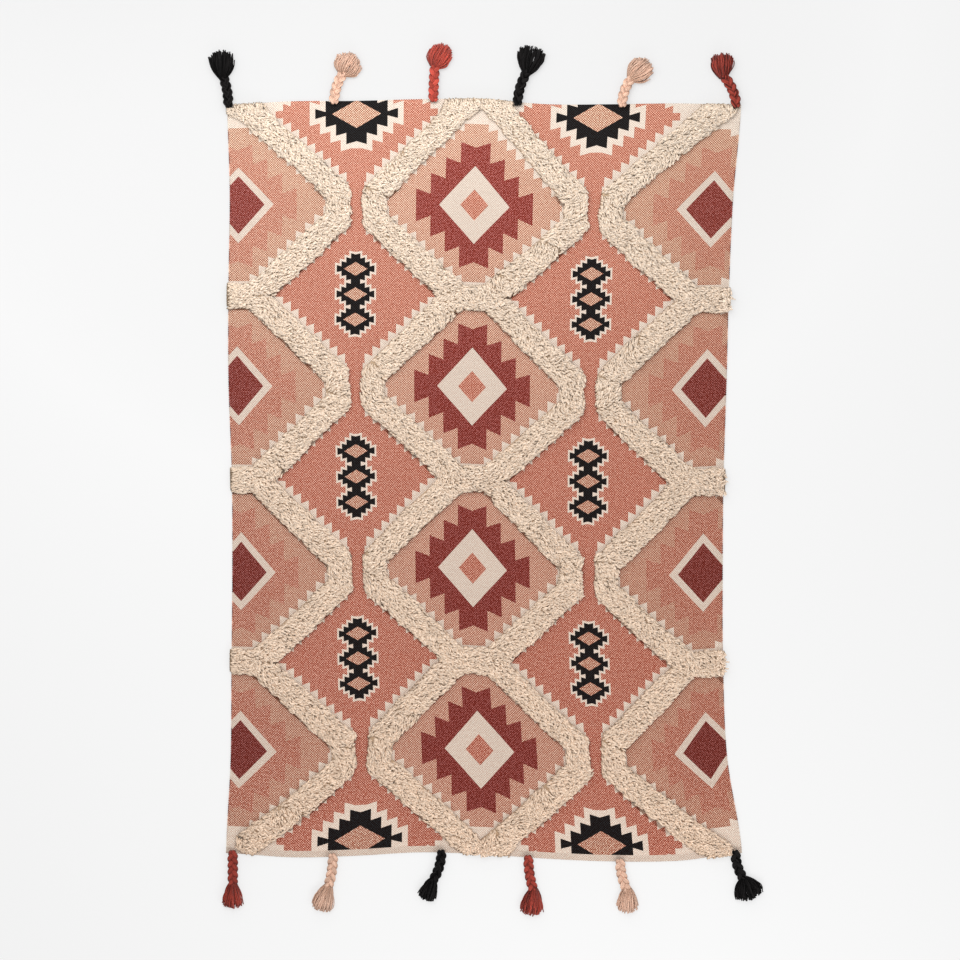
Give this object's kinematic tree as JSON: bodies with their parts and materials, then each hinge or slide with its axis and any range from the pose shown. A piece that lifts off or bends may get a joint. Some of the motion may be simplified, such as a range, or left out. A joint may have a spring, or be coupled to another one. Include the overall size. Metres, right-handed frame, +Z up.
{
  "type": "cotton rug",
  "caption": "Flat-woven cotton rug with stepped diamonds, a lattice of raised cream pile bands, and plaited tassels along both ends.",
  "frame": {"origin": "middle of the woven ground's underside, on the floor", "axes": "+X across the rug, +Y along it towards the far end, +Z up from the floor"},
  "size_m": [1.3163, 2.08, 0.0205],
  "materials": {
    "ground": "matt flat-woven cotton in salmon, peach, maroon, cream and black",
    "pile": "matt tufted cream cotton yarn",
    "tassel_black": "matt plaited black cotton yarn",
    "tassel_peach": "matt plaited peach cotton yarn",
    "tassel_red": "matt plaited red cotton yarn"
  },
  "bodies": {
    "root": {"woven_ground": "ground", "pile_left_1": "pile", "pile_left_2": "pile", "pile_left_3": "pile", "pile_left_4": "pile", "pile_left_5": "pile", "pile_left_6": "pile", "pile_left_7": "pile", "pile_left_8": "pile", "pile_middle_left_1": "pile", "pile_middle_left_2": "pile", "pile_middle_left_3": "pile", "pile_middle_left_4": "pile", "pile_middle_left_5": "pile", "pile_middle_left_6": "pile", "pile_middle_left_7": "pile", "pile_middle_left_8": "pile", "pile_middle_right_1": "pile", "pile_middle_right_2": "pile", "pile_middle_right_3": "pile", "pile_middle_right_4": "pile", "pile_middle_right_5": "pile", "pile_middle_right_6": "pile", "pile_middle_right_7": "pile", "pile_middle_right_8": "pile", "pile_right_1": "pile", "pile_right_2": "pile", "pile_right_3": "pile", "pile_right_4": "pile", "pile_right_5": "pile", "pile_right_6": "pile", "pile_right_7": "pile", "pile_right_8": "pile", "tassel_far_1": "tassel_black", "tassel_far_2": "tassel_peach", "tassel_far_3": "tassel_red", "tassel_far_4": "tassel_black", "tassel_far_5": "tassel_peach", "tassel_far_6": "tassel_red", "tassel_near_1": "tassel_red", "tassel_near_2": "tassel_peach", "tassel_near_3": "tassel_black", "tassel_near_4": "tassel_red", "tassel_near_5": "tassel_peach", "tassel_near_6": "tassel_black"}
  },
  "joints": []
}
